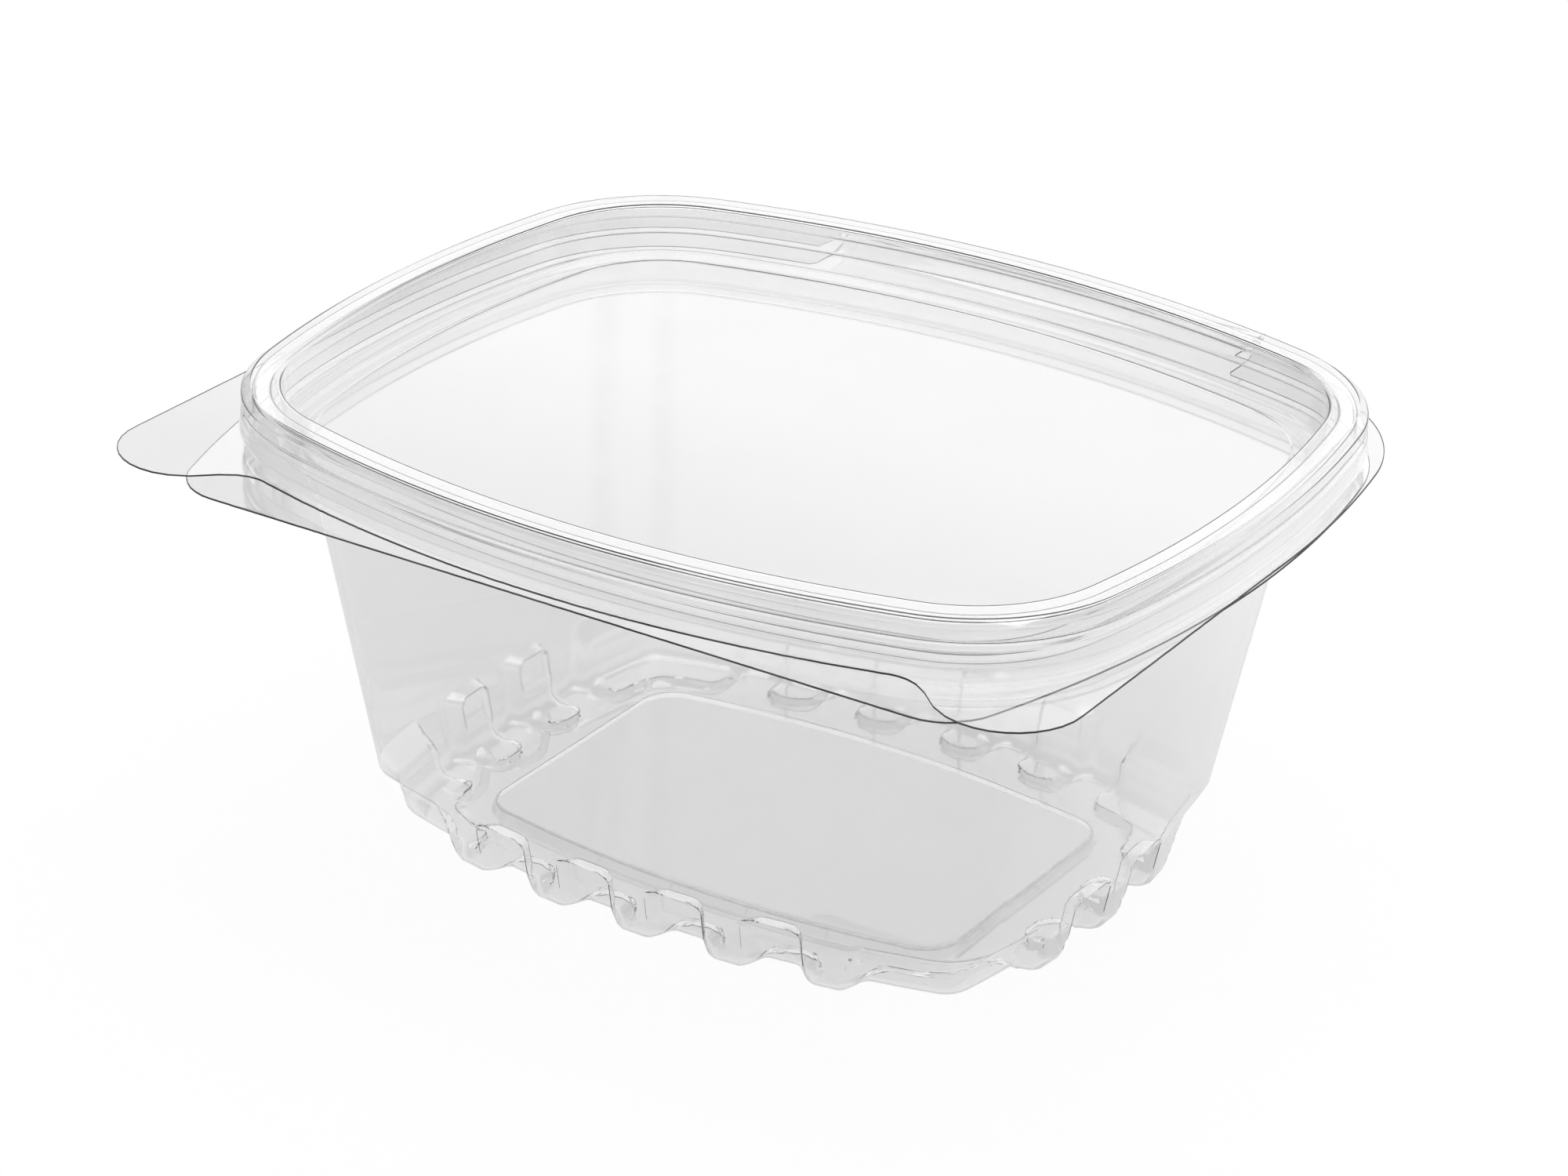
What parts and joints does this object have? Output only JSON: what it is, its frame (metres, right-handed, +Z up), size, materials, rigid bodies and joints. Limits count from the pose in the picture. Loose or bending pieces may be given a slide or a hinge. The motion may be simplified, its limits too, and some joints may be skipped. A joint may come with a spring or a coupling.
{
  "type": "hinged-lid food container",
  "caption": "Clear formed-plastic food container: drafted tub on small feet, with a hinged lid that snaps over its rim, a stacking recess on top and pull tabs in front.",
  "frame": {"origin": "on the table under the centre of the closed container's footprint box, at the underside of the feet", "axes": "+X along the long side, -Y to the pull tabs, +Y to the fold, +Z up"},
  "size_m": [0.1378, 0.1222, 0.0628],
  "materials": {
    "clear_plastic": "clear, glossy"
  },
  "bodies": {
    "tub": {"tub": "clear_plastic"},
    "lid": {"hinged_lid": "clear_plastic"}
  },
  "joints": [
    {"name": "lid_hinge", "type": "hinge", "parent": "tub", "child": "lid", "pos_m": [0, 0.06137, 0.0565], "axis": [-1, 0, 0], "range_deg": [0, 180]}
  ]
}
